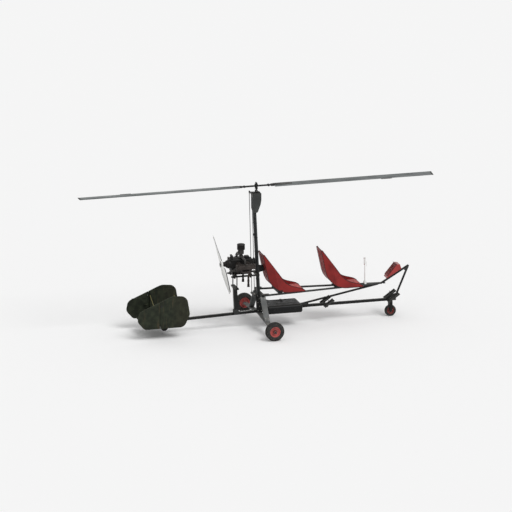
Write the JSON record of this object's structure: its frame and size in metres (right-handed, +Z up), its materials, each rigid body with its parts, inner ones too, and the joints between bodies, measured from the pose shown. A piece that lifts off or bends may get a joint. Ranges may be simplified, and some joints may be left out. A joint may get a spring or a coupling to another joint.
{
  "type": "open-frame two-seat gyrocopter",
  "caption": "Open-frame tandem gyrocopter with a pusher propeller, a teetering rotor on a mast, bucket seats, tricycle gear and tail fins with rudders.",
  "frame": {"origin": "on the ground under the rotor's shaft, the middle of the bottom of the bounding box", "axes": "+X forward to the nose, along the parked rotor blades; +Y to the left; +Z up"},
  "size_m": [7.32, 2.3604, 2.988],
  "materials": {
    "bare_alloy": "satin",
    "seat_shell": "satin",
    "seat_cloth": "matte",
    "tyre_rubber": "matte",
    "rim_red": "gloss",
    "tank_plastic": "matte",
    "engine_case": "satin",
    "engine_cast": "matte",
    "exhaust_steel": "matte",
    "filter_mesh": "matte",
    "prop_dark": "satin",
    "blade_grey": "satin",
    "fairing_dark": "satin",
    "head_metal": "satin",
    "fin_olive": "satin",
    "stay_olive": "satin",
    "pod_red": "gloss",
    "dial_face": "matte",
    "frame_alloy": "satin",
    "gear_alloy": "satin"
  },
  "bodies": {
    "airframe": {"keel_rear": "frame_alloy", "keel_front": "frame_alloy", "mast": "frame_alloy", "mast_plates": "bare_alloy", "crossbar": "frame_alloy", "seat_rails": "frame_alloy", "belly_brace": "frame_alloy", "nose_tubes": "frame_alloy", "axle_beam": "gear_alloy", "gear_legs": "gear_alloy", "engine_post": "frame_alloy", "engine_bed": "frame_alloy", "engine_case": "engine_case", "cylinders": "engine_cast", "gearbox": "engine_case", "intake": "engine_case", "air_filter": "filter_mesh", "exhausts": "exhaust_steel", "fuel_tank": "tank_plastic", "front_seat": "seat_shell", "rear_seat": "seat_shell", "front_cushion": "seat_cloth", "rear_cushion": "seat_cloth", "seat_brackets": "frame_alloy", "foot_plates": "bare_alloy", "control_stick": "bare_alloy", "instrument_pod": "pod_red", "instrument_face": "dial_face", "head_fairing": "fairing_dark", "rotor_head": "head_metal", "push_rods": "frame_alloy", "tailplane": "fin_olive", "fins": "fin_olive", "tail_stays": "stay_olive", "tail_wheel_bracket": "frame_alloy"},
    "wheel_left": {"tyre_left": "tyre_rubber", "rim_left": "rim_red"},
    "wheel_right": {"tyre_right": "tyre_rubber", "rim_right": "rim_red"},
    "nose_fork": {"nose_fork": "frame_alloy"},
    "nose_wheel": {"nose_tyre": "tyre_rubber", "nose_rim": "rim_red"},
    "tail_wheel": {"tail_wheel": "tyre_rubber"},
    "rudder_left": {"rudder_left": "fin_olive"},
    "rudder_right": {"rudder_right": "fin_olive"},
    "propeller": {"propeller": "prop_dark"},
    "rotor_tower": {"teeter_tower": "head_metal"},
    "rotor": {"hub_bar": "head_metal", "rotor_blades": "blade_grey"}
  },
  "joints": [
    {"name": "wheel_left_spin", "type": "hinge", "parent": "airframe", "child": "wheel_left", "pos_m": [0.064, 1.12, 0.19], "axis": [0, 1, 0], "continuous": true},
    {"name": "wheel_right_spin", "type": "hinge", "parent": "airframe", "child": "wheel_right", "pos_m": [0.064, -1.12, 0.19], "axis": [0, 1, 0], "continuous": true},
    {"name": "nose_steer", "type": "hinge", "parent": "airframe", "child": "nose_fork", "pos_m": [2.8, 0, 0.35], "axis": [0, 0, 1], "range_deg": [-30, 30]},
    {"name": "nose_wheel_spin", "type": "hinge", "parent": "nose_fork", "child": "nose_wheel", "pos_m": [2.8, 0, 0.115], "axis": [0, 1, 0], "continuous": true},
    {"name": "tail_wheel_spin", "type": "hinge", "parent": "airframe", "child": "tail_wheel", "pos_m": [-1.91, 0, 0.13], "axis": [0, 1, 0], "continuous": true},
    {"name": "rudder_left_turn", "type": "hinge", "parent": "airframe", "child": "rudder_left", "pos_m": [-2.13, 0.437, 0.5], "axis": [0, 0, 1], "range_deg": [-25, 25]},
    {"name": "rudder_right_turn", "type": "hinge", "parent": "airframe", "child": "rudder_right", "pos_m": [-2.13, -0.437, 0.5], "axis": [0, 0, 1], "range_deg": [-25, 25]},
    {"name": "propeller_spin", "type": "hinge", "parent": "airframe", "child": "propeller", "pos_m": [-0.722, 0, 1.338], "axis": [1, 0, 0], "continuous": true},
    {"name": "rotor_spin", "type": "hinge", "parent": "airframe", "child": "rotor_tower", "pos_m": [0, 0, 2.852], "axis": [0, 0, 1], "continuous": true},
    {"name": "rotor_teeter", "type": "hinge", "parent": "rotor_tower", "child": "rotor", "pos_m": [0, 0, 2.939], "axis": [0, 1, 0], "range_deg": [-8, 8]}
  ],
  "couplings": [
    {"joint": "rudder_right_turn", "follows": "rudder_left_turn", "ratio": 1}
  ]
}
